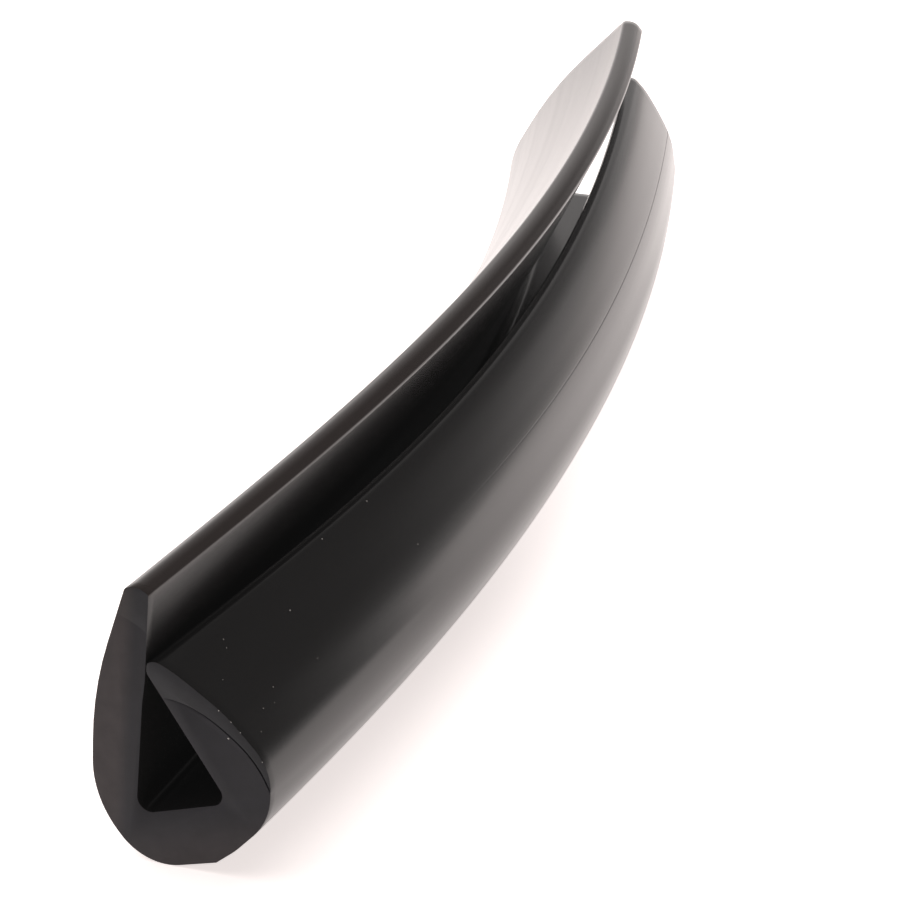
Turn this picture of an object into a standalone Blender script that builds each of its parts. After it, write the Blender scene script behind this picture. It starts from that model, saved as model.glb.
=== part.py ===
"""Edge trim seal: a short cut length of black clip-on edge trim.

The section is a teardrop: a tall limb on the left and a shorter curved lip on the right stand on a
thick rounded base, and the lip's tip leans against the limb, so that they close a three-cornered
channel that grips the edge of a sheet. The cut length keeps a little of the coil's set: it bends to
the left, its base rolls to the right along the way, and the limb and the lip part towards the far end.
The strip lies on its rounded base, as it would on a level floor. +Z is up, the strip runs along +Y
from its near cut face, and the origin is under its middle.
"""

import math

import bmesh
import bpy
from mathutils import Matrix, Vector

MM = 0.001

# The strip
LENGTH = 74.7 * MM
STATIONS = 32

# Heights in the section, above the underside
FLOOR_HEIGHT = 2.85 * MM
LIMB_TOP = 14.39 * MM
LIMB_TIP_DROP = 0.46 * MM
LIMB_SHOULDER = 9.25 * MM
LIMB_FOOT = 4.38 * MM
LIP_TOP = 10.43 * MM
LIP_TIP_DROP = 0.30 * MM
LIP_SHOULDER = 7.44 * MM
LIP_FOOT = 4.43 * MM
HEEL_HEIGHT = 1.68 * MM

# The channel's floor, measured across from the strip's axis
CHANNEL_LEFT = 3.26 * MM
CHANNEL_RIGHT = 1.86 * MM
LIMB_LEAN = math.radians(23.9)
LIP_GAP = 0.12 * MM

# Width of the wall at each height, level across the section
LIMB_TIP_WIDTH = 1.62 * MM
LIMB_SHOULDER_WIDTH = 2.86 * MM
LIMB_FOOT_WIDTH = 2.56 * MM
LIP_TIP_WIDTH = 0.77 * MM
LIP_SHOULDER_WIDTH = 2.64 * MM
LIP_FOOT_WIDTH = 3.35 * MM

# The underside's two ends and the heel on the right, from the strip's axis
BASE_LEFT = 4.2 * MM
BASE_RIGHT = 0.33 * MM
HEEL_RIGHT = 3.67 * MM

# Radii of the section's rounded corners
LIMB_TIP_INNER_RADIUS = 0.62 * MM
LIMB_TIP_OUTER_RADIUS = 0.95 * MM
LIMB_SHOULDER_RADIUS = 20.0 * MM
LIMB_FOOT_RADIUS = 4.9 * MM
BASE_RADIUS = 3.2 * MM
BASE_EDGE_RADIUS = 0.5 * MM
HEEL_RADIUS = 4.1 * MM
LIP_FOOT_RADIUS = 2.9 * MM
LIP_SHOULDER_RADIUS = 5.9 * MM
LIP_TIP_OUTER_RADIUS = 0.55 * MM
LIP_TIP_INNER_RADIUS = 0.45 * MM
CHANNEL_LEFT_RADIUS = 0.66 * MM
CHANNEL_RIGHT_RADIUS = 0.58 * MM
ARC_STEP = math.radians(15)
SIDE_USE = 0.98

# The set that the strip keeps from its coil
AXIS_HEIGHT = 4.83 * MM
BEND = math.radians(21.8)
BEND_POWER = 1.4
NEAR_ROLL = math.radians(-19.4)
TWIST = math.radians(25.3)
TWIST_POWER = 2.59

# How far the limb and the lip stand away from the shape that they have at the near end
LIMB_LEAN_MIDDLE = math.radians(-4.3)
LIMB_LEAN_SKEW = math.radians(1.3)
LIMB_LEAN_FAR = math.radians(1.0)
LIP_LEAN_MIDDLE = math.radians(1.6)
LIP_LEAN_SKEW = math.radians(-5.2)
LIP_LEAN_FAR = math.radians(7.3)
LEAN_RUN = 4.0 * MM

TALL_LIMB = 1.0
SHORT_LIP = -1.0


def clear_scene():
    for obj in list(bpy.data.objects):
        bpy.data.objects.remove(obj, do_unlink=True)


def limb_wall(height):
    """Place of the tall limb's inner wall at a height."""
    return (height - FLOOR_HEIGHT) * math.tan(LIMB_LEAN) - CHANNEL_LEFT


def lip_tip(shift):
    """Inner corner of the lip's tip, set over by a shift from the tall limb's inner wall."""
    height = LIP_TOP - LIP_TIP_DROP
    return limb_wall(height) + shift, height


def lip_wall(height, shift):
    """Place of the lip's inner wall at a height."""
    tip_across, tip_height = lip_tip(shift)
    share = (height - FLOOR_HEIGHT) / (tip_height - FLOOR_HEIGHT)
    return CHANNEL_RIGHT + (tip_across - CHANNEL_RIGHT) * share


def section_corners(shift):
    """The section's corners in order: across, height, radius, and which limb each belongs to."""
    tip_drop = LIMB_TOP - LIMB_TIP_DROP
    tip_across, tip_height = lip_tip(shift)
    tall = [
        (-CHANNEL_LEFT, FLOOR_HEIGHT, CHANNEL_LEFT_RADIUS),
        (limb_wall(LIMB_TOP), LIMB_TOP, LIMB_TIP_INNER_RADIUS),
        (limb_wall(LIMB_TOP) - LIMB_TIP_WIDTH, tip_drop, LIMB_TIP_OUTER_RADIUS),
        (limb_wall(LIMB_SHOULDER) - LIMB_SHOULDER_WIDTH, LIMB_SHOULDER, LIMB_SHOULDER_RADIUS),
        (limb_wall(LIMB_FOOT) - LIMB_FOOT_WIDTH, LIMB_FOOT, LIMB_FOOT_RADIUS),
        (-BASE_LEFT, 0.0, BASE_RADIUS),
    ]
    short = [
        (BASE_RIGHT, 0.0, BASE_EDGE_RADIUS),
        (HEEL_RIGHT, HEEL_HEIGHT, HEEL_RADIUS),
        (lip_wall(LIP_FOOT, shift) + LIP_FOOT_WIDTH, LIP_FOOT, LIP_FOOT_RADIUS),
        (lip_wall(LIP_SHOULDER, shift) + LIP_SHOULDER_WIDTH, LIP_SHOULDER, LIP_SHOULDER_RADIUS),
        (tip_across + LIP_TIP_WIDTH, LIP_TOP, LIP_TIP_OUTER_RADIUS),
        (tip_across, tip_height, LIP_TIP_INNER_RADIUS),
        (CHANNEL_RIGHT, FLOOR_HEIGHT, CHANNEL_RIGHT_RADIUS),
    ]
    return [(*corner, TALL_LIMB) for corner in tall] + [(*corner, SHORT_LIP) for corner in short]


def fitted_radii(corners):
    """The corners' radii, each as large as its two sides have room for beside the next corner's arc."""
    places = [Vector(corner[:2]) for corner in corners]
    count = len(places)
    reach = []
    for i, corner in enumerate(corners):
        to_before = places[i - 1] - places[i]
        to_after = places[(i + 1) % count] - places[i]
        reach.append(corner[2] / math.tan(to_before.angle(to_after) / 2))
    radii = []
    for i, corner in enumerate(corners):
        shares = [1.0]
        for j in (i - 1, (i + 1) % count):
            shares.append(SIDE_USE * (places[j] - places[i]).length / (reach[i] + reach[j]))
        radii.append(corner[2] * min(shares))
    return radii


def rounded_corner(before, corner, after, radius):
    """Points of the arc that rounds a corner between its two neighbours."""
    to_before = (before - corner).normalized()
    to_after = (after - corner).normalized()
    half = to_before.angle(to_after) / 2
    centre = corner + (to_before + to_after).normalized() * radius / math.sin(half)
    start = corner + to_before * radius / math.tan(half) - centre
    turn = math.pi - 2 * half
    if to_before.cross(to_after) > 0:
        turn = -turn
    steps = max(1, math.ceil(abs(turn) / ARC_STEP))
    return [centre + Matrix.Rotation(turn * k / steps, 2) @ start for k in range(steps + 1)]


def section_outline(shift):
    """The closed outline as (across, height, limb) points."""
    corners = section_corners(shift)
    points = []
    for i, radius in enumerate(fitted_radii(corners)):
        before, corner, after = (Vector(corners[k % len(corners)][:2]) for k in (i - 1, i, i + 1))
        for point in rounded_corner(before, corner, after, radius):
            points.append((point.x, point.y, corners[i][3]))
    return points


def lip_shift():
    """How far the lip's tip is set over so that its rounded end stands LIP_GAP off the tall limb."""
    tip = [point for point in section_outline(0.0) if point[2] == SHORT_LIP and point[1] > LIP_SHOULDER]
    nearest = min((across - limb_wall(height)) * math.cos(LIMB_LEAN) for across, height, _ in tip)
    return (LIP_GAP - nearest) / math.cos(LIMB_LEAN)


def smooth(value):
    value = min(max(value, 0.0), 1.0)
    return value * value * (3 - 2 * value)


def lean(middle, skew, far, along):
    """Angle of a swing that starts from nothing at the near end and reaches its far value at the other."""
    hump = 4 * along * (1 - along)
    return hump * (middle + skew * (2 * along - 1)) + far * along


def leaned(across, height, limb, along):
    """The limb and the lip each swing about their root, as far as they stand away from their cut shape."""
    if limb > 0:
        root = Vector((-(CHANNEL_LEFT + BASE_LEFT) / 2, FLOOR_HEIGHT))
        angle = lean(LIMB_LEAN_MIDDLE, LIMB_LEAN_SKEW, LIMB_LEAN_FAR, along)
    else:
        root = Vector(((CHANNEL_RIGHT + HEEL_RIGHT) / 2, FLOOR_HEIGHT))
        angle = lean(LIP_LEAN_MIDDLE, LIP_LEAN_SKEW, LIP_LEAN_FAR, along)
    angle *= smooth((height - FLOOR_HEIGHT) / LEAN_RUN)
    return root + Matrix.Rotation(-angle, 2) @ (Vector((across, height)) - root)


def heading(along):
    """Direction of the axis, clockwise from +Y, at a share of the length."""
    return -BEND * along**BEND_POWER


def axis_points():
    """The strip's level axis: one point at each station."""
    points = [Vector((0.0, 0.0, AXIS_HEIGHT))]
    step = LENGTH / STATIONS
    for k in range(STATIONS):
        turn = heading((k + 0.5) / STATIONS)
        points.append(points[-1] + step * Vector((math.sin(turn), math.cos(turn), 0.0)))
    return points


def placed(section, station, axis):
    """Where a point of the section lies at a station."""
    along = station / STATIONS
    point = leaned(*section, along)
    turn = heading(along)
    roll = NEAR_ROLL + TWIST * (1 - (1 - along) ** TWIST_POWER)
    level = Vector((math.cos(turn), -math.sin(turn), 0.0))
    upright = Vector((0.0, 0.0, 1.0))
    across = level * math.cos(roll) - upright * math.sin(roll)
    up = upright * math.cos(roll) + level * math.sin(roll)
    return axis[station] + across * point.x + up * (point.y - AXIS_HEIGHT)


def extruded_strip():
    """The section's face, extruded from station to station along the axis."""
    bm = bmesh.new()
    section = bm.verts.layers.float_vector.new("section")
    axis = axis_points()
    ring = []
    for point in section_outline(lip_shift()):
        vert = bm.verts.new(placed(point, 0, axis))
        vert[section] = point
        ring.append(vert)
    face = bm.faces.new(ring)
    for station in range(1, STATIONS + 1):
        made = bmesh.ops.extrude_face_region(bm, geom=[face])["geom"]
        if station > 1:
            bmesh.ops.delete(bm, geom=[face], context="FACES_ONLY")
        face = max((item for item in made if isinstance(item, bmesh.types.BMFace)), key=lambda f: len(f.verts))
        for vert in face.verts:
            vert.co = placed(vert[section], station, axis)
    bmesh.ops.recalc_face_normals(bm, faces=bm.faces)
    return bm


def centre_of_mass(bm):
    """Centre of the solid, from the tetrahedra under its triangles."""
    volume, moment = 0.0, Vector()
    for corners in bm.calc_loop_triangles():
        a, b, c = (loop.vert.co for loop in corners)
        part = a.dot(b.cross(c))
        volume += part
        moment += part * (a + b + c) / 4
    return moment / volume


def carries(face, centre):
    """True if the centre of mass stands over this face of the hull."""
    corners = [vert.co for vert in face.verts]
    for i, corner in enumerate(corners):
        side = corners[(i + 1) % len(corners)] - corner
        if side.cross(centre - corner).dot(face.normal) < 0:
            return False
    return True


def settle(bm):
    """Rolls the strip onto the nearest face of its hull that carries it, then centres it over the origin."""
    centre = centre_of_mass(bm)
    hull = bmesh.new()
    for vert in bm.verts:
        hull.verts.new(vert.co)
    bmesh.ops.convex_hull(hull, input=hull.verts)
    hull.normal_update()
    faces = [face for face in hull.faces if carries(face, centre)]
    down = min(faces, key=lambda face: face.normal.z).normal.copy()
    hull.free()
    turn = down.rotation_difference(Vector((0.0, 0.0, -1.0))).to_matrix()
    bmesh.ops.rotate(bm, verts=bm.verts, cent=centre, matrix=turn)
    lows = [min(vert.co[i] for vert in bm.verts) for i in range(3)]
    highs = [max(vert.co[i] for vert in bm.verts) for i in range(3)]
    under = Vector(((lows[0] + highs[0]) / 2, (lows[1] + highs[1]) / 2, lows[2]))
    bmesh.ops.translate(bm, verts=bm.verts, vec=-under)


def black_rubber():
    material = bpy.data.materials.new("black_soft_pvc")
    material.use_nodes = True
    shader = material.node_tree.nodes["Principled BSDF"]
    shader.inputs["Base Color"].default_value = (0.022, 0.020, 0.019, 1.0)
    shader.inputs["Roughness"].default_value = 0.42
    shader.inputs["Metallic"].default_value = 0.0
    return material


def main():
    clear_scene()
    collection = bpy.data.collections.new("edge_trim_seal")
    bpy.context.scene.collection.children.link(collection)
    bm = extruded_strip()
    settle(bm)
    mesh = bpy.data.meshes.new("trim_strip")
    bm.to_mesh(mesh)
    bm.free()
    mesh.materials.append(black_rubber())
    mesh.shade_smooth()
    mesh.set_sharp_from_angle(angle=math.radians(40))
    collection.objects.link(bpy.data.objects.new("trim_strip", mesh))


main()
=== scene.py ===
# %% [markdown]
# # Edge trim seal
# The object is a short cut length of clip-on edge trim. It is soft PVC, pushed hot through a steel die, so
# every mark on its outside runs along it, and it is cut square with a knife. This lesson draws the section
# once, extrudes it, bends it into the set that the coil has left in it, and finishes the skin and the cut.
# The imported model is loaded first, because it fixes the size and the place: the strip that is made here has
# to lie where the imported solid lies.

import math

import bmesh
import bpy
from mathutils import Euler, Matrix, Vector


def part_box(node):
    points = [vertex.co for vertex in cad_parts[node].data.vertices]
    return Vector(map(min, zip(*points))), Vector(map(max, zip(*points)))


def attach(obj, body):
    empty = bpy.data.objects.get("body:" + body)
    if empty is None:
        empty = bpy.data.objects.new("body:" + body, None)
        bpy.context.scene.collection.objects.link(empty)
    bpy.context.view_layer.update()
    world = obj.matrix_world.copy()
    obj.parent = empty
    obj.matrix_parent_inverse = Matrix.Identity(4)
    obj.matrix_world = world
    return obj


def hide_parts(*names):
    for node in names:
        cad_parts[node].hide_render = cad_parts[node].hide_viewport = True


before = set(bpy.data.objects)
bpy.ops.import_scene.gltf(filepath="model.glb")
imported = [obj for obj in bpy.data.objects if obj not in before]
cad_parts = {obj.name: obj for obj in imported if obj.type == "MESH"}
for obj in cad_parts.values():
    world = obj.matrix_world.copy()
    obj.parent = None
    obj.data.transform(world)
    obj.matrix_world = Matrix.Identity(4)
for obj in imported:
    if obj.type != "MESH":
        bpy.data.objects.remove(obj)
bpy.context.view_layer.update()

# %% [markdown]
# ## The section
# Seen from its near end the strip is a teardrop. A tall limb stands on the left, a shorter curved lip leans
# against it from the right, and both grow out of a thick rounded base. Between them is a three-cornered
# channel that grips a sheet's edge. A curve drawn by hand would do, but a die is cut from straight sides and
# round cutters, so the outline is given the same way: twenty corners and the radii that round them. A large
# radius on a blunt corner is a wall that curves gently, and a small one is a real corner.

# %% The corners of the section, in millimetres: across, height, and the radius that rounds each
MM = 0.001

CORNERS = [
    (-3.26, 2.88, 0.65),  # the limb's foot inside the channel
    (-0.84, 8.30, 4.0),   # start of the swelling that the lip leans on
    (-0.28, 9.36, 3.0),   # end of the swelling
    (1.55, 13.57, 0.20),  # the limb's tip, inner side
    (1.03, 14.13, 0.80),
    (0.38, 14.06, 0.30),  # the limb's tip, outer side
    (-3.22, 9.32, 20.0),  # the limb's shoulder
    (-5.33, 4.00, 5.1),   # the belly of the teardrop
    (-3.82, 0.11, 2.9),
    (0.12, 0.01, 0.12),   # the heel's sharp left corner
    (1.35, 0.49, 5.0),
    (3.70, 1.76, 3.6),    # the heel
    (4.83, 4.35, 2.8),    # the lip's foot
    (3.38, 7.34, 6.6),    # the lip's shoulder
    (1.97, 9.06, 14.0),
    (1.22, 9.90, 4.5),
    (0.62, 10.35, 0.60),  # the lip's tip
    (0.16, 10.29, 0.22),
    (-0.05, 9.84, 0.50),
    (1.90, 2.91, 0.59),   # the lip's foot inside the channel
]
print("section corners:", len(CORNERS))

# %% [markdown]
# A corner is rounded by spinning one vertex about the arc's centre: the operator leaves a chain of vertices
# and edges behind it. The section stands in the XZ plane and the strip will run along Y, so Y is the axis of
# every spin. A bevel of the corners would be shorter, but it gives all of them one width, and each of these
# has a radius of its own.

# %% Round one corner by spinning a vertex
ARC_STEP = math.radians(3.5)
ACROSS_AXIS = Vector((0.0, 1.0, 0.0))


def in_section(across, height):
    """Point of the section from its place across and its height in millimetres."""
    return Vector((across, 0.0, height)) * MM


def spin_corner(bm, before, corner, after, radius):
    """Leaves the arc that rounds a corner and returns its first and last vertex."""
    to_before = (before - corner).normalized()
    to_after = (after - corner).normalized()
    half = to_before.angle(to_after) / 2
    reach = radius / math.tan(half)
    centre = corner + (to_before + to_after).normalized() * radius / math.sin(half)
    first = bm.verts.new(corner + to_before * reach)
    from_centre = first.co - centre
    to_end = corner + to_after * reach - centre
    turn = math.copysign(from_centre.angle(to_end), from_centre.cross(to_end).dot(ACROSS_AXIS))
    steps = max(1, math.ceil(abs(turn) / ARC_STEP))
    spun = bmesh.ops.spin(bm, geom=[first], cent=centre, axis=ACROSS_AXIS, angle=turn, steps=steps)
    last = next(item for item in spun["geom_last"] if isinstance(item, bmesh.types.BMVert))
    return first, last


print("a right angle is rounded in", math.ceil(math.radians(90) / ARC_STEP), "steps")

# %% [markdown]
# The arcs are joined by straight edges, and those are cut in halves until none is long. The extra vertices
# do nothing yet: they let the limb and the lip curve later, when they swing about their roots.

# %% Draw the outline
LONGEST_EDGE = 0.32 * MM


def draw_outline(bm):
    """The closed outline of the section, as one loop of short edges."""
    places = [in_section(across, height) for across, height, _ in CORNERS]
    count = len(CORNERS)
    ends = []
    for i, (_, _, radius) in enumerate(CORNERS):
        after = places[(i + 1) % count]
        ends.append(spin_corner(bm, places[i - 1], places[i], after, radius * MM))
    for i in range(count):
        bm.edges.new((ends[i][1], ends[(i + 1) % count][0]))
    while long_edges := [edge for edge in bm.edges if edge.calc_length() > LONGEST_EDGE]:
        bmesh.ops.subdivide_edges(bm, edges=long_edges, cuts=1)


bm = bmesh.new()
draw_outline(bm)
print("outline:", len(bm.verts), "vertices,", len(bm.edges), "edges")

# %% [markdown]
# The near cut shows that the strip is pushed from two melts at once. A softer skin covers the lip's outside
# and ends in a line at the strip's right, and the limb's tip has a bead of it. They could be drawn as lines
# in the finish, but in the real cut each is a step that catches the light. So the section's face is split
# along both lines, and the split edges can carry a real hairline groove.

# %% Fill the outline and split it where the two melts meet
LIP_SEAM = ((0.32, 8.46), (4.18, 3.15), 0.96)    # start, end, and rise of the arch, in millimetres
TIP_SEAM = ((-0.46, 12.95), (0.80, 11.75), 0.10)
SEAM_POINTS = 24
SEAM_FULLNESS = 2.5    # 2 is a parabola, and more is flatter in the middle
SKIN_SLOT, CORE_SLOT, BEAD_SLOT = 0, 1, 2


def nearest_vert(bm, place):
    """The outline's vertex that lies nearest to a place."""
    return min(bm.verts, key=lambda vert: (vert.co - place).length)


def split_along(bm, start, end, rise):
    """Splits the face that holds both ends along a shallow arch above the chord, and returns the arch."""
    first = nearest_vert(bm, in_section(*start))
    last = nearest_vert(bm, in_section(*end))
    chord = last.co - first.co
    up = chord.cross(ACROSS_AXIS).normalized() * rise * MM
    shares = [k / (SEAM_POINTS + 1) for k in range(1, SEAM_POINTS + 1)]
    arch = [first.co + chord * share + up * (1 - abs(2 * share - 1) ** SEAM_FULLNESS) for share in shares]
    path = [first.co.copy()] + arch + [last.co.copy()]
    face = next(face for face in first.link_faces if last in face.verts)
    bmesh.utils.face_split(face, first, last, coords=arch)
    return path


bmesh.ops.edgeloop_fill(bm, edges=bm.edges)
lip_seam = split_along(bm, *LIP_SEAM)
tip_seam = split_along(bm, *TIP_SEAM)
core = max(bm.faces, key=lambda face: face.calc_area())
for face in bm.faces:
    face.material_index = CORE_SLOT if face is core else BEAD_SLOT
print("faces in the section:", [round(face.calc_area() / MM**2, 2) for face in bm.faces], "square mm")

# %% [markdown]
# ## The strip
# The section is extruded once to the strip's length and cut across into stations. It could be swept along a
# bent path at once, but this strip also rolls and opens on its way. So a straight bar comes first and its
# shape second, and nothing is lost: each vertex keeps its straight place in an attribute.

# %% Extrude the section and cut it into stations
LENGTH = 74.7 * MM
STATIONS = 150

made = bmesh.ops.extrude_face_region(bm, geom=bm.faces[:])["geom"]
far_verts = [item for item in made if isinstance(item, bmesh.types.BMVert)]
bmesh.ops.translate(bm, verts=far_verts, vec=ACROSS_AXIS * LENGTH)
bmesh.ops.recalc_face_normals(bm, faces=bm.faces)
runs = [edge for edge in bm.edges if abs(edge.verts[0].co.y - edge.verts[1].co.y) > LENGTH / 2]
bmesh.ops.subdivide_edges(bm, edges=runs, cuts=STATIONS - 1, use_grid_fill=True)
print("stations:", STATIONS, "faces:", len(bm.faces))

# %% [markdown]
# A knife leaves the cut's rim crisp but not perfectly sharp, and the rim catches a thin glint. A bevel of a
# few hundredths of a millimetre gives that. The seams between the melts are bevelled in the same step, which
# gives each a row of vertices along its middle.

# %% Break the rims of the two cuts
RIM = 0.04 * MM

for face in bm.faces:
    if abs(face.normal.y) < 0.5:
        face.material_index = SKIN_SLOT
rims = [edge for edge in bm.edges if any(face.material_index != SKIN_SLOT for face in edge.link_faces)]
made = bmesh.ops.bevel(bm, geom=rims, offset=RIM, offset_type="OFFSET", segments=2, profile=0.5,
                       affect="EDGES", material=-1, clamp_overlap=False)
print("rim faces:", len(made["faces"]))

# %% [markdown]
# The two melts shrink by different amounts as they cool, and the blade pulls them apart a little. The middle
# row of each seam is pressed in to make that groove: the lip's grows deeper towards the heel, where its end
# shows as a dark notch, and the bead's is hardly more than a change of shade.

# %% Press in the seams
SEAM_REACH = 0.3 * RIM    # the middle row lies nearer to the seam than this
GROOVE_FAINT = 0.006 * MM
GROOVE_SHALLOW = 0.018 * MM
GROOVE_DEEP = 0.16 * MM


def press_seam(bm, path, shallow, deep):
    """Presses the middle row of a bevelled seam into both cuts and returns how many vertices moved."""
    moved = 0
    for vert in made["verts"]:
        flat = Vector((vert.co.x, 0.0, vert.co.z))
        k = min(range(len(path)), key=lambda i: (path[i] - flat).length)
        if (path[k] - flat).length > SEAM_REACH:
            continue
        depth = shallow + (deep - shallow) * (k / (len(path) - 1)) ** 2
        vert.co.y += depth if vert.co.y < LENGTH / 2 else -depth
        moved += 1
    return moved


print("pressed in along the lip:", press_seam(bm, lip_seam, GROOVE_SHALLOW, GROOVE_DEEP))
print("pressed in round the bead:", press_seam(bm, tip_seam, GROOVE_FAINT, GROOVE_FAINT))

# %% [markdown]
# The bar is still straight, so this is the moment to write each vertex's place into an attribute. The
# finishes read it instead of the bent place, and so their lines follow the strip however it curves.

# %% Keep the straight shape in an attribute
bm.normal_update()
straight = bm.verts.layers.float_vector.new("straight")
for vert in bm.verts:
    vert[straight] = vert.co
print("straight places kept:", len(bm.verts))

# %% [markdown]
# ## The set of the coil
# Trim is kept in coils, and a cut length never lies quite straight. This one bends to the left, more and more
# towards its far end. A curve with a modifier could carry the bar along, but a few lines say it exactly: the
# heading turns as a power of the share of the length, and the axis is walked in short steps along it.

# %% The bent axis
AXIS_HEIGHT = 4.83 * MM
BEND = math.radians(21.8)
BEND_POWER = 1.4
AXIS_STEPS = 600


def heading(share):
    """Direction of the axis, clockwise from +Y, at a share of the length."""
    return -BEND * share**BEND_POWER


def axis_places(count):
    """The axis, walked in short level steps along its heading."""
    places = [Vector((0.0, 0.0, AXIS_HEIGHT))]
    for k in range(count):
        turn = heading((k + 0.5) / count)
        places.append(places[-1] + LENGTH / count * Vector((math.sin(turn), math.cos(turn), 0.0)))
    return places


AXIS = axis_places(AXIS_STEPS)


def axis_at(share):
    """Place on the axis between two walked steps."""
    at = share * (len(AXIS) - 1)
    step = min(int(at), len(AXIS) - 2)
    return AXIS[step].lerp(AXIS[step + 1], at - step)


print("the far end lies", round(-AXIS[-1].x / MM, 2), "mm to the left of the near one")

# %% [markdown]
# The limb and the lip touch at the near cut and part towards the far end. Each swings about its own root, so
# every point must belong to one of the two. A line tells them apart: it climbs from the middle of the
# channel's floor to the gap at the lip's nose, and from there on beside the limb's inner wall. It has to pass
# between the two everywhere, or a web of faces is stretched across the gap.

# %% Tell the limb from the lip, in millimetres
CHANNEL_FLOOR = 2.83
CHANNEL_MIDDLE = -0.70
LIP_TOUCH = (-0.0955, 9.77)
LIMB_SLOPE = 0.4363


def gap_middle(height):
    """Place across of the gap between the limb and the lip, at a height, both in millimetres."""
    touch_across, touch_height = LIP_TOUCH
    if height > touch_height:
        return touch_across + LIMB_SLOPE * (height - touch_height)
    share = (height - CHANNEL_FLOOR) / (touch_height - CHANNEL_FLOOR)
    return CHANNEL_MIDDLE + (touch_across - CHANNEL_MIDDLE) * share


print("the gap at the limb's tip:", round(gap_middle(CORNERS[3][1]), 2), "mm across")

# %% [markdown]
# A swing has a value for the middle of the strip, one that skews it towards an end, and one for the far end,
# and it is nothing at the near cut. It grows from the root upward over a few millimetres, because soft PVC
# bends and has no hinge. Where the limb no longer presses on it, the lip also bows outward a little.

# %% How far the limb and the lip swing and the lip bows
LIMB_SWING = [math.radians(value) for value in (-4.3, 1.3, 1.0)]    # middle, skew, far
LIP_SWING = [math.radians(value) for value in (1.6, -5.2, 7.3)]
LIMB_ROOT = in_section(-3.73, 2.85)
LIP_ROOT = in_section(2.765, 2.85)
SWING_RUN = 4.0 * MM
LIP_BOW = 0.17 * MM
LIP_TIP_HEIGHT = 10.3 * MM
BOW_POWER = 1.5
HUMP = 27 / 4    # makes rise * rise * (1 - rise), which is highest at two thirds, one high there


def smooth(value):
    """Climbs from nothing to one and is level at both ends."""
    value = min(max(value, 0.0), 1.0)
    return value * value * (3 - 2 * value)


def swing(values, share):
    """Angle of a limb at a share of the length, from its middle, skew and far values."""
    middle, skew, far = values
    return 4 * share * (1 - share) * (middle + skew * (2 * share - 1)) + far * share


def bow(share, height):
    """How far the freed lip bows outward, most at two thirds of its height and at the far end."""
    rise = min(max((height - LIP_ROOT.z) / (LIP_TIP_HEIGHT - LIP_ROOT.z), 0.0), 1.0)
    return LIP_BOW * share**BOW_POWER * HUMP * rise * rise * (1 - rise)


print("the lip's swing at the middle and the far end:",
      [round(math.degrees(swing(LIP_SWING, share)), 1) for share in (0.5, 1.0)], "degrees")

# %% [markdown]
# The whole section also rolls: it leans to the left at the near cut, and the roll is used up early, so that
# most of the twist lies in the near half. One function puts the swing, the bow, the roll and the bent axis
# together and says where a point of the straight bar ends up.

# %% Bend the bar
NEAR_ROLL = math.radians(-19.4)
TWIST = math.radians(25.3)
TWIST_POWER = 2.59    # above one, the twist is used up early


def bent(place):
    """Where a point of the straight bar lies on the bent strip."""
    share = place.y / LENGTH
    on_limb = place.x < gap_middle(place.z / MM) * MM
    root, values = (LIMB_ROOT, LIMB_SWING) if on_limb else (LIP_ROOT, LIP_SWING)
    angle = swing(values, share) * smooth((place.z - root.z) / SWING_RUN)
    section = root + Matrix.Rotation(angle, 3, "Y") @ (Vector((place.x, 0.0, place.z)) - root)
    if not on_limb:
        section.x += bow(share, place.z)
    roll = NEAR_ROLL + TWIST * (1 - (1 - share) ** TWIST_POWER)
    lifted = Matrix.Rotation(roll, 3, "Y") @ (section - Vector((0.0, 0.0, AXIS_HEIGHT)))
    return axis_at(share) + Matrix.Rotation(-heading(share), 3, "Z") @ lifted


for vert in bm.verts:
    vert.co = bent(vert[straight])
bm.normal_update()
print("bent strip, first vertex:", bm.verts[:][0].co)

# %% [markdown]
# Left alone on a level floor the strip rolls a few degrees until its rounded base carries it. The packed
# solid has done so already. The strip gets the same turn, and is then set down on the floor exactly where
# that solid lies.

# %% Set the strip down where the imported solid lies
SETTLE_ANGLE = math.radians(3.192)
SETTLE_AXIS = Vector((-0.2309, 0.9730, 0.0))
SETTLE_TURN = Matrix.Rotation(SETTLE_ANGLE, 3, SETTLE_AXIS)


def shift_to_box(bm, low, high):
    """The move that centres the strip in a box and rests it on the box's floor."""
    here_low = Vector([min(vert.co[i] for vert in bm.verts) for i in range(3)])
    here_high = Vector([max(vert.co[i] for vert in bm.verts) for i in range(3)])
    shift = (low + high - here_low - here_high) / 2
    shift.z = low.z - here_low.z
    return shift


bmesh.ops.rotate(bm, verts=bm.verts, cent=Vector(), matrix=SETTLE_TURN)
shift = shift_to_box(bm, *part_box("trim_strip"))
bmesh.ops.translate(bm, verts=bm.verts, vec=shift)
print("moved by", shift)

# %% [markdown]
# The finished mesh becomes one object, because the strip is one piece. It is shaded smooth, with the rims of
# the cuts and the heel's corner kept sharp by their angle. It rides on the part's only body and stands for
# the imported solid, which stays hidden.

# %% Make the strip's object
SHARP_ANGLE = math.radians(35)


def new_piece(name, bm):
    """A scene object at the origin that holds a bmesh, which is used up."""
    mesh = bpy.data.meshes.new(name)
    bm.to_mesh(mesh)
    bm.free()
    piece = bpy.data.objects.new(name, mesh)
    bpy.context.scene.collection.objects.link(piece)
    return piece


strip = new_piece("trim_strip_skin", bm)
strip.data.shade_smooth()
strip.data.set_sharp_from_angle(angle=SHARP_ANGLE)
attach(strip, "root")
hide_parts("trim_strip")
print("strip:", len(strip.data.vertices), "vertices,", len(strip.data.polygons), "faces")

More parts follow.
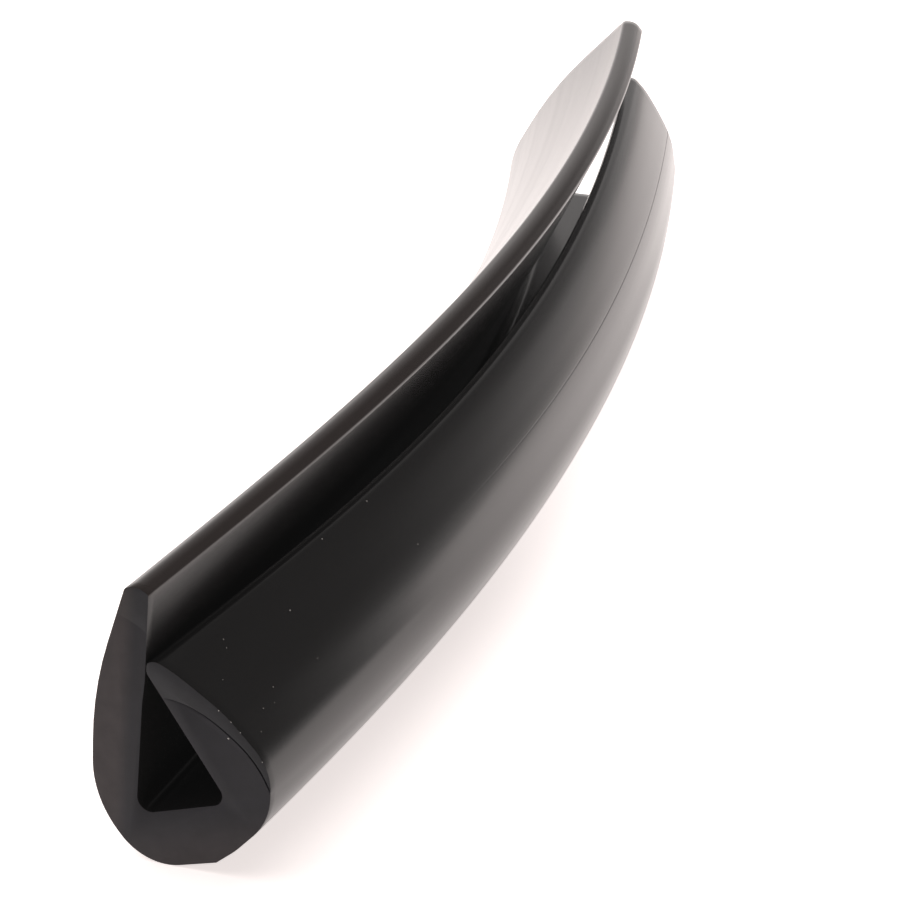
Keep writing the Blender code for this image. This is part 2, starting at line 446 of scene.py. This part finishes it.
# %% [markdown]
# ## Finishes
# Colours are written as sRGB hex, as a colour picker shows them, and one function turns them to linear. One
# helper adds a node with its settings and links, and another starts a finish with its shader. The nodes then
# read as a recipe, from top to bottom.

# %% The helpers that every finish uses


def linear(code):
    """sRGB hex colour as linear RGBA."""
    parts = [int(code[i:i + 2], 16) / 255 for i in (1, 3, 5)]
    return [part / 12.92 if part <= 0.04045 else ((part + 0.055) / 1.055) ** 2.4 for part in parts] + [1.0]


def add_node(tree, kind, links=None, inputs=None, **settings):
    """Adds a node, sets it up, and links its inputs from other nodes' outputs."""
    node = tree.nodes.new(kind)
    for name, value in settings.items():
        setattr(node, name, value)
    for name, value in (inputs or {}).items():
        node.inputs[name].default_value = value
    for name, output in (links or {}).items():
        tree.links.new(output, node.inputs[name])
    return node


def new_finish(name):
    """An empty material with its output and a Principled shader."""
    material = bpy.data.materials.new(name)
    material.use_nodes = True
    tree = material.node_tree
    tree.nodes.clear()
    shader = add_node(tree, "ShaderNodeBsdfPrincipled")
    add_node(tree, "ShaderNodeOutputMaterial", links={"Surface": shader.outputs["BSDF"]})
    return material, tree, shader


print("mid grey in linear light:", round(linear("#808080")[0], 3))

# %% [markdown]
# ### The extruded skin
# Soft PVC, plasticised polyvinyl chloride, extruded and drawn through a water bath. The eye sees a deep warm
# black with a satin gloss. Its IOR is the polymer's own. The bead at the limb's tip is another melt, and its
# skin is a little lighter and browner: partly the melt's own colour and partly painted light for the lit band
# along the tip. It is told apart by its height in the straight section. A trace of emission keeps the deepest
# shadows off pure black, as the stray light in a lens does.

# %% Extruded skin, and its bead with a painted lit band
BEAD_AND_LIT_BAND_FROM = 13.1 * MM
BEAD_AND_LIT_BAND_FULL = 13.7 * MM
PVC_IOR = 1.53
STRAY_LIGHT = 0.0028

skin, tree, shader = new_finish("extruded_soft_pvc")
shader.inputs["IOR"].default_value = PVC_IOR
shader.inputs["Emission Color"].default_value = linear("#ffffff")
shader.inputs["Emission Strength"].default_value = STRAY_LIGHT
place = add_node(tree, "ShaderNodeAttribute", attribute_name="straight")
axes = add_node(tree, "ShaderNodeSeparateXYZ", links={"Vector": place.outputs["Vector"]})
bead_and_lit_band = add_node(tree, "ShaderNodeMapRange", interpolation_type="SMOOTHSTEP",
                links={"Value": axes.outputs["Z"]}, inputs={"From Min": BEAD_AND_LIT_BAND_FROM, "From Max": BEAD_AND_LIT_BAND_FULL})
# The bead's lighter brown is partly its own melt and partly painted light: the lit band along the limb's tip.
melt_and_lit_band = add_node(tree, "ShaderNodeMix", data_type="RGBA", links={"Factor": bead_and_lit_band.outputs["Result"]})
melt_and_lit_band.inputs["A"].default_value = linear("#131212")
melt_and_lit_band.inputs["B"].default_value = linear("#2c2624")
tree.links.new(melt_and_lit_band.outputs["Result"], shader.inputs["Base Color"])
strip.data.materials.append(skin)
print("skin:", skin.name, "with a bead above", round(BEAD_AND_LIT_BAND_FROM / MM, 1), "mm")

# %% [markdown]
# The bath leaves the gloss very even: slow waves a millimetre or two wide, and on top of them the drag lines
# of the die, a tenth of a millimetre wide, which run on for a hundred. Both are the same noise, stretched
# along the straight bar by the real width and length of a patch. They change the roughness alone, because in
# a black plastic only the gloss shows them.

# %% Gloss of the skin
WAVE_WIDTH, WAVE_LENGTH = 1.6 * MM, 50 * MM
DRAG_WIDTH, DRAG_LENGTH = 0.12 * MM, 120 * MM
WAVE_GLOSSIEST, WAVE_DULLEST = 0.205, 0.225    # roughness
DRAG_CHANGE = 0.006


def run_along(tree, place, width, length):
    """Noise stretched along the strip: one patch is about this wide and this long."""
    scale = [1 / width, 1 / length, 1 / width]
    stretched = add_node(tree, "ShaderNodeVectorMath", operation="MULTIPLY",
                         inputs={1: scale}, links={0: place.outputs["Vector"]})
    noise = add_node(tree, "ShaderNodeTexNoise", inputs={"Scale": 1.0, "Detail": 1.0, "Roughness": 0.5},
                     links={"Vector": stretched.outputs[0]})
    return noise.outputs["Fac"]


waves = add_node(tree, "ShaderNodeMapRange",
                 links={"Value": run_along(tree, place, WAVE_WIDTH, WAVE_LENGTH)},
                 inputs={"From Min": 0.3, "From Max": 0.7, "To Min": WAVE_GLOSSIEST, "To Max": WAVE_DULLEST})
drag = add_node(tree, "ShaderNodeMapRange",
                links={"Value": run_along(tree, place, DRAG_WIDTH, DRAG_LENGTH)},
                inputs={"From Min": 0.3, "From Max": 0.7, "To Min": -DRAG_CHANGE, "To Max": DRAG_CHANGE})
gloss = add_node(tree, "ShaderNodeMath", operation="ADD",
                 links={0: waves.outputs["Result"], 1: drag.outputs["Result"]})
print("roughness of the skin:", WAVE_GLOSSIEST, "to", WAVE_DULLEST, "and the drag lines:", DRAG_CHANGE)

# %% [markdown]
# The die leaves one fine line of its own along the lip's outer wall, a scored line a few hundredths of a
# millimetre wide at one height in the section. Cutting it into the mesh would take rows of tiny faces for
# something that is a hundredth of a millimetre deep, so it is relief in the finish: whatever lies close to
# that height is pressed in and turned matt. Towards the near end it is worn away.

# %% Die line along the lip
DIE_LINE_HEIGHT = 7.57 * MM
DIE_LINE_WIDTH = 0.06 * MM
DIE_LINE_DEPTH = 0.012 * MM
DIE_LINE_DULLING = 0.22
LIP_WALL_FROM = 1.9 * MM
WORN_UNTIL, FRESH_FROM = 0.30, 0.65    # shares of the length

above = add_node(tree, "ShaderNodeMath", operation="SUBTRACT", links={0: axes.outputs["Z"]},
                 inputs={1: DIE_LINE_HEIGHT})
away = add_node(tree, "ShaderNodeMath", operation="ABSOLUTE", links={0: above.outputs[0]})
scored = add_node(tree, "ShaderNodeMapRange", interpolation_type="SMOOTHSTEP",
                  links={"Value": away.outputs[0]},
                  inputs={"From Min": 0.0, "From Max": DIE_LINE_WIDTH, "To Min": 1.0, "To Max": 0.0})
on_lip = add_node(tree, "ShaderNodeMath", operation="GREATER_THAN", links={0: axes.outputs["X"]},
                  inputs={1: LIP_WALL_FROM})
marked = add_node(tree, "ShaderNodeMath", operation="MULTIPLY",
                  links={0: scored.outputs["Result"], 1: on_lip.outputs[0]})
share = add_node(tree, "ShaderNodeMath", operation="DIVIDE", links={0: axes.outputs["Y"]},
                 inputs={1: LENGTH})
worn = add_node(tree, "ShaderNodeMapRange", links={"Value": share.outputs[0]},
                inputs={"From Min": WORN_UNTIL, "From Max": FRESH_FROM, "To Min": 0.0, "To Max": 1.0})
line = add_node(tree, "ShaderNodeMath", operation="MULTIPLY",
                links={0: marked.outputs[0], 1: worn.outputs["Result"]})
relief = add_node(tree, "ShaderNodeBump", invert=True, links={"Height": line.outputs[0]},
                  inputs={"Strength": 0.5, "Distance": DIE_LINE_DEPTH})
tree.links.new(relief.outputs["Normal"], shader.inputs["Normal"])
dull = add_node(tree, "ShaderNodeMath", operation="MULTIPLY_ADD", inputs={1: DIE_LINE_DULLING},
                links={0: line.outputs[0], 2: gloss.outputs[0]})
tree.links.new(dull.outputs[0], shader.inputs["Roughness"])
print("die line at", round(DIE_LINE_HEIGHT / MM, 2), "mm, nodes in the skin:", len(tree.nodes))

# %% [markdown]
# ### The knife cut
# The same PVC where a knife has parted it: matt, because the blade leaves the grain of the melt open, and
# lighter than the skin. The core is a cool dark grey. Along the limb's back and under the base the cut is
# painted a warmer and lighter grey. It is painted light: the light falls on the limb's back, and the white
# table lights the base from below. Two masks find those places in the straight section: the height finds the
# base, and the back is found by the distance to the left of a line that leans like the limb.

# %% Painted light on the cut, at the limb's back and under the base
BACK_WARM_FROM, BACK_WARM_TO = -4.9 * MM, -5.9 * MM
BASE_WARM_FROM, BASE_WARM_TO = 2.6 * MM, 0.0 * MM
BASE_WARMTH = 0.85


def painted_edge_light(tree, place):
    """Mask of the cut's painted light: one at the limb's back, nearly so under the base, and nothing in the
    core.
    """
    axes = add_node(tree, "ShaderNodeSeparateXYZ", links={"Vector": place.outputs["Vector"]})
    lean = add_node(tree, "ShaderNodeMath", operation="MULTIPLY_ADD", inputs={1: -LIMB_SLOPE},
                    links={0: axes.outputs["Z"], 2: axes.outputs["X"]})
    back = add_node(tree, "ShaderNodeMapRange", interpolation_type="SMOOTHSTEP",
                    links={"Value": lean.outputs[0]},
                    inputs={"From Min": BACK_WARM_TO, "From Max": BACK_WARM_FROM,
                            "To Min": 1.0, "To Max": 0.0})
    base = add_node(tree, "ShaderNodeMapRange", interpolation_type="SMOOTHSTEP",
                    links={"Value": axes.outputs["Z"]},
                    inputs={"From Min": BASE_WARM_TO, "From Max": BASE_WARM_FROM,
                            "To Min": BASE_WARMTH, "To Max": 0.0})
    warm = add_node(tree, "ShaderNodeMath", operation="MAXIMUM",
                    links={0: back.outputs["Result"], 1: base.outputs["Result"]})
    return warm.outputs[0]


print("the base is warm below", round(BASE_WARM_FROM / MM, 1), "mm")

# %% [markdown]
# The softer melt of the lip's outside is cut a shade lighter, so one function makes both finishes. Clouds of
# about a millimetre break up the grey, and the open grain of the melt, a tenth of a millimetre wide, is
# relief, because it is far too fine and too shallow to be geometry.

# %% Knife cut of the core and of the softer melt
CLOUD = 1.1 * MM
GRAIN = 0.09 * MM
GRAIN_DEPTH = 0.01 * MM


def knife_cut(name, core_code, painted_light_code):
    """Cut PVC: a core colour with painted light that warms it towards the limb's back and the base, and a
    fine grain.
    """
    material, tree, shader = new_finish(name)
    shader.inputs["Roughness"].default_value = 0.68
    shader.inputs["IOR"].default_value = PVC_IOR
    shader.inputs["Specular IOR Level"].default_value = 0.38
    place = add_node(tree, "ShaderNodeAttribute", attribute_name="straight")
    colour = add_node(tree, "ShaderNodeMix", data_type="RGBA", links={"Factor": painted_edge_light(tree, place)})
    colour.inputs["A"].default_value = linear(core_code)
    colour.inputs["B"].default_value = linear(painted_light_code)
    cloud = add_node(tree, "ShaderNodeTexNoise", inputs={"Scale": 1 / CLOUD, "Detail": 2.0},
                     links={"Vector": place.outputs["Vector"]})
    shade = add_node(tree, "ShaderNodeMapRange", links={"Value": cloud.outputs["Fac"]},
                     inputs={"From Min": 0.3, "From Max": 0.7, "To Min": 0.8, "To Max": 1.2})
    clouded = add_node(tree, "ShaderNodeVectorMath", operation="SCALE",
                       links={0: colour.outputs["Result"], "Scale": shade.outputs["Result"]})
    tree.links.new(clouded.outputs[0], shader.inputs["Base Color"])
    grain = add_node(tree, "ShaderNodeTexNoise", inputs={"Scale": 1 / GRAIN, "Detail": 2.0},
                     links={"Vector": place.outputs["Vector"]})
    relief = add_node(tree, "ShaderNodeBump", inputs={"Strength": 0.25, "Distance": GRAIN_DEPTH},
                      links={"Height": grain.outputs["Fac"]})
    tree.links.new(relief.outputs["Normal"], shader.inputs["Normal"])
    return material


# The second colour of each is painted light: the lighter, warmer grey at the limb's back and the base.
strip.data.materials.append(knife_cut("knife_cut_core_pvc", "#14141a", "#2f2a2b"))
strip.data.materials.append(knife_cut("knife_cut_softer_pvc", "#1a1b1f", "#2e2a2a"))
print("finishes on the strip:", [material.name for material in strip.data.materials])

# %% [markdown]
# ### Dust, and painted glints on the rim
# Black PVC draws dust. A few pale specks of about a twentieth of a millimetre lie on the lip's outer wall
# near the cut, and some sit in the seam. The pale specks on the near cut's rim are not dust: they are painted
# highlights, put where the rim glints. Scattered points would put them anywhere, but these are few and each
# shows, so each has its own row: its share of the length, its place in the section and its size. It is a
# small squashed ball, carried through the same bend as the strip and set on the nearest skin.

# %% Dust specks on the skin, and painted glints on the rim
# Share of the length, across and height in millimetres, and size in millimetres
# The rows at share 0 that lie on the near cut's rim are painted highlights: pale specks where the rim glints.
# The rest are dust.
DUST_AND_GLINT_SPECKS = [
    (0.051, 1.48, 9.52, 0.07),
    (0.047, 1.75, 9.22, 0.05),
    (0.023, 2.47, 8.38, 0.05),
    (0.051, 3.46, 7.05, 0.07),
    (0.102, 3.56, 6.87, 0.06),
    (0.031, 3.70, 6.60, 0.06),
    (0.043, 3.75, 6.51, 0.04),
    (0.016, 4.07, 5.88, 0.04),
    (0.113, 2.01, 8.91, 0.08),
    (0.258, 2.99, 7.75, 0.06),
    (0.185, 0.86, 10.15, 0.08),
    (0.245, 0.86, 10.15, 0.09),
    (0.0, 3.12, 6.15, 0.10),
    (0.0, 3.12, 7.57, 0.06),
    (0.0, 3.56, 6.94, 0.05),
    (0.0, 3.86, 6.37, 0.05),
    (0.0, 4.47, 4.80, 0.05),
]
SQUASH = (1.0, 0.8, 0.9)

dust_and_glint_bm = bmesh.new()
for along, across, height, size in DUST_AND_GLINT_SPECKS:
    near = SETTLE_TURN @ bent(in_section(across, height) + ACROSS_AXIS * LENGTH * along) + shift
    _, on_skin, _, _ = strip.closest_point_on_mesh(near)
    ball = bmesh.ops.create_icosphere(dust_and_glint_bm, subdivisions=1, radius=size / 2 * MM)
    bmesh.ops.scale(dust_and_glint_bm, verts=ball["verts"], vec=SQUASH)
    bmesh.ops.translate(dust_and_glint_bm, verts=ball["verts"], vec=on_skin)
dust_and_glints = new_piece("dust_and_glint_specks", dust_and_glint_bm)
dust_and_glints.data.shade_smooth()
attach(dust_and_glints, "root")
print("dust specks:", len(DUST_AND_GLINT_SPECKS))

# %% [markdown]
# The specks are lint, loose pale fibres, so their finish is fully matt and mottled between two warm greys, in
# patches that are smaller than a speck. The same finish makes the pale specks on the rim, which are painted
# highlights.

# %% Finish of the dust and of the painted glints
FLUFF = 0.03 * MM

lint_and_glints, tree, shader = new_finish("pale_lint_dust_and_glints")
shader.inputs["Roughness"].default_value = 0.95
on_speck = add_node(tree, "ShaderNodeTexCoord").outputs["Object"]
fluff = add_node(tree, "ShaderNodeTexNoise", inputs={"Scale": 1 / FLUFF, "Detail": 2.0},
                 links={"Vector": on_speck})
tone = add_node(tree, "ShaderNodeMix", data_type="RGBA", links={"Factor": fluff.outputs["Fac"]})
tone.inputs["A"].default_value = linear("#8a8783")
tone.inputs["B"].default_value = linear("#d9d6d2")
tree.links.new(tone.outputs["Result"], shader.inputs["Base Color"])
dust_and_glints.data.materials.append(lint_and_glints)
print("finish of the dust:", lint_and_glints.name)

# %% [markdown]
# ## The studio
# The strip lies on a plain white table, wide enough that its edge never shows. The table is a stage and not
# part of the object. Part of its white is a glow of its own, which stands for a light so broad that it
# leaves hardly a shadow: a lamp as strong as that would also wash out the black. The glow isn't even. It is
# weaker in front of the strip and to its right, where the table shows a soft warm shade. Further right, out
# of view, it fades, because the glossy lip mirrors that part of the table and shows it dark.

# %% White table
FALLOFF_TOWARDS = (0.761, 0.649, 0.0)
FALLOFF_FROM, FALLOFF_TO = 0.05, 0.17
BRIGHTER_TOWARDS = (-0.6, 0.8, 0.0)
BRIGHTER_FROM, BRIGHTER_TO = -0.015, 0.012
TABLE_SIZE = 3.0

floor_bm = bmesh.new()
bmesh.ops.create_grid(floor_bm, x_segments=1, y_segments=1, size=TABLE_SIZE)
floor = new_piece("studio_floor", floor_bm)
table, tree, shader = new_finish("white_table")
shader.inputs["Base Color"].default_value = linear("#f4f2f1")
shader.inputs["Roughness"].default_value = 0.8
shader.inputs["Emission Color"].default_value = (1.0, 0.92, 0.90, 1.0)
on_table = add_node(tree, "ShaderNodeTexCoord").outputs["Object"]
right = add_node(tree, "ShaderNodeVectorMath", operation="DOT_PRODUCT", links={0: on_table},
                 inputs={1: FALLOFF_TOWARDS})
falloff = add_node(tree, "ShaderNodeMapRange", interpolation_type="SMOOTHSTEP",
                   links={"Value": right.outputs["Value"]},
                   inputs={"From Min": FALLOFF_FROM, "From Max": FALLOFF_TO, "To Min": 1.0, "To Max": 0.15})
back = add_node(tree, "ShaderNodeVectorMath", operation="DOT_PRODUCT", links={0: on_table},
                inputs={1: BRIGHTER_TOWARDS})
rise = add_node(tree, "ShaderNodeMapRange", interpolation_type="SMOOTHSTEP",
                links={"Value": back.outputs["Value"]},
                inputs={"From Min": BRIGHTER_FROM, "From Max": BRIGHTER_TO, "To Min": 0.74, "To Max": 1.05})
glow = add_node(tree, "ShaderNodeMath", operation="MULTIPLY",
                links={0: falloff.outputs["Result"], 1: rise.outputs["Result"]})
tree.links.new(glow.outputs[0], shader.inputs["Emission Strength"])
floor.data.materials.append(table)
print("table:", floor.name)

# %% [markdown]
# What a black gloss shows is the room that it mirrors, so the room is drawn with care. Two ramps give its
# brightness by height above the horizon: a dim one all round, and towards the back left a tall bright window,
# which draws the long highlight on the limb. A picture of a studio would do as well, but a ramp can be
# read and tuned stop by stop. Stops that are moved one by one can change places, so each is made where it
# belongs.

# %% The room that the gloss mirrors
BACK_LEFT = (-0.730, 0.683, 0.0)
WINDOW_FROM, WINDOW_FULL = 0.46, 0.90    # cosine of the angle from the middle of the window
ROOM_TINT = (1.0, 0.955, 0.94)
# Height above the horizon, from the level to straight up, and brightness there
ROOM = [(0.0, 0.85), (0.05, 0.60), (0.15, 0.28), (0.35, 0.16), (0.72, 0.15), (1.0, 0.14)]
WINDOW = [(0.0, 1.80), (0.15, 1.65), (0.30, 1.08), (0.42, 0.86), (0.50, 0.52), (0.78, 0.24), (1.0, 0.15)]

world = bpy.data.worlds.new("studio_world")
bpy.context.scene.world = world
world.use_nodes = True
tree = world.node_tree
toward = add_node(tree, "ShaderNodeTexCoord").outputs["Generated"]
up = add_node(tree, "ShaderNodeSeparateXYZ", links={"Vector": toward}).outputs["Z"]


def fill_ramp(ramp, stops):
    """Sets a ramp's stops from pairs of place and colour, in rising order."""
    elements = ramp.color_ramp.elements
    elements[0].position, elements[0].color = stops[0]
    elements[-1].position, elements[-1].color = stops[-1]
    for at, colour in stops[1:-1]:
        elements.new(at).color = colour


def sky(tree, stops):
    """Brightness that changes with height above the horizon, slightly pink like the room."""
    ramp = add_node(tree, "ShaderNodeValToRGB", links={"Fac": up})
    ramp.color_ramp.interpolation = "EASE"
    fill_ramp(ramp, [(at, (*(value * part for part in ROOM_TINT), 1.0)) for at, value in stops])
    return ramp.outputs["Color"]


flat = add_node(tree, "ShaderNodeVectorMath", operation="MULTIPLY", links={0: toward},
                inputs={1: (1.0, 1.0, 0.0)})
level = add_node(tree, "ShaderNodeVectorMath", operation="NORMALIZE", links={0: flat.outputs[0]})
back = add_node(tree, "ShaderNodeVectorMath", operation="DOT_PRODUCT", links={0: level.outputs[0]},
                inputs={1: BACK_LEFT})
behind = add_node(tree, "ShaderNodeMapRange", interpolation_type="SMOOTHSTEP",
                  links={"Value": back.outputs["Value"]},
                  inputs={"From Min": WINDOW_FROM, "From Max": WINDOW_FULL, "To Min": 0.0, "To Max": 1.0})
tint = add_node(tree, "ShaderNodeMix", data_type="RGBA",
                links={"Factor": behind.outputs["Result"], "A": sky(tree, ROOM), "B": sky(tree, WINDOW)})
tree.links.new(tint.outputs["Result"], tree.nodes["Background"].inputs["Color"])
tree.nodes["Background"].inputs["Strength"].default_value = 1.0
print("stops in the room and the window:", len(ROOM), len(WINDOW))

# %% [markdown]
# One large square light hangs above and a little behind on the left. It only lifts the cut and the table: the
# gloss doesn't mirror it, because the window already draws every highlight.

# %% Soft light from above
light_data = bpy.data.lights.new("soft_top", "AREA")
light_data.shape = "SQUARE"
light_data.size = 1.4
light_data.energy = 9.0
light_data.color = (1.0, 0.94, 0.92)
light = bpy.data.objects.new("soft_top", light_data)
light.location = (-0.30, 0.25, 0.7)
light.rotation_euler = Vector((0.15, -0.12, -0.7)).to_track_quat("-Z", "Y").to_euler()
light.visible_glossy = False
bpy.context.scene.collection.objects.link(light)
print("light:", light.name, "of", light_data.energy, "W")

# %% [markdown]
# The camera stands a quarter of a metre away, in front and to the right, and looks down on the strip along
# its length. From so near, even with a long lens, the far end looks a fifth smaller than the near one, and
# that ratio is what tells how far away to stand. Its place, turn and lens were fitted together to corners of
# the strip that can be named on it and seen in the picture.

# %% Camera
CAMERA_PLACE = (0.110028, -0.213223, 0.117789)
CAMERA_TURN = [math.radians(value) for value in (64.4807, 3.1214, 25.4463)]
LENS = 202.456
SENSOR = 36.0

camera_data = bpy.data.cameras.new("photo_camera")
camera_data.lens = LENS
camera_data.sensor_width = SENSOR
camera_data.clip_start = 0.01
camera = bpy.data.objects.new("photo_camera", camera_data)
camera.location = CAMERA_PLACE
camera.rotation_euler = Euler(CAMERA_TURN, "XYZ")
bpy.context.scene.collection.objects.link(camera)
bpy.context.scene.camera = camera
bpy.context.scene.view_settings.view_transform = "Standard"
print("camera:", round(Vector(CAMERA_PLACE).length, 3), "m from the origin")
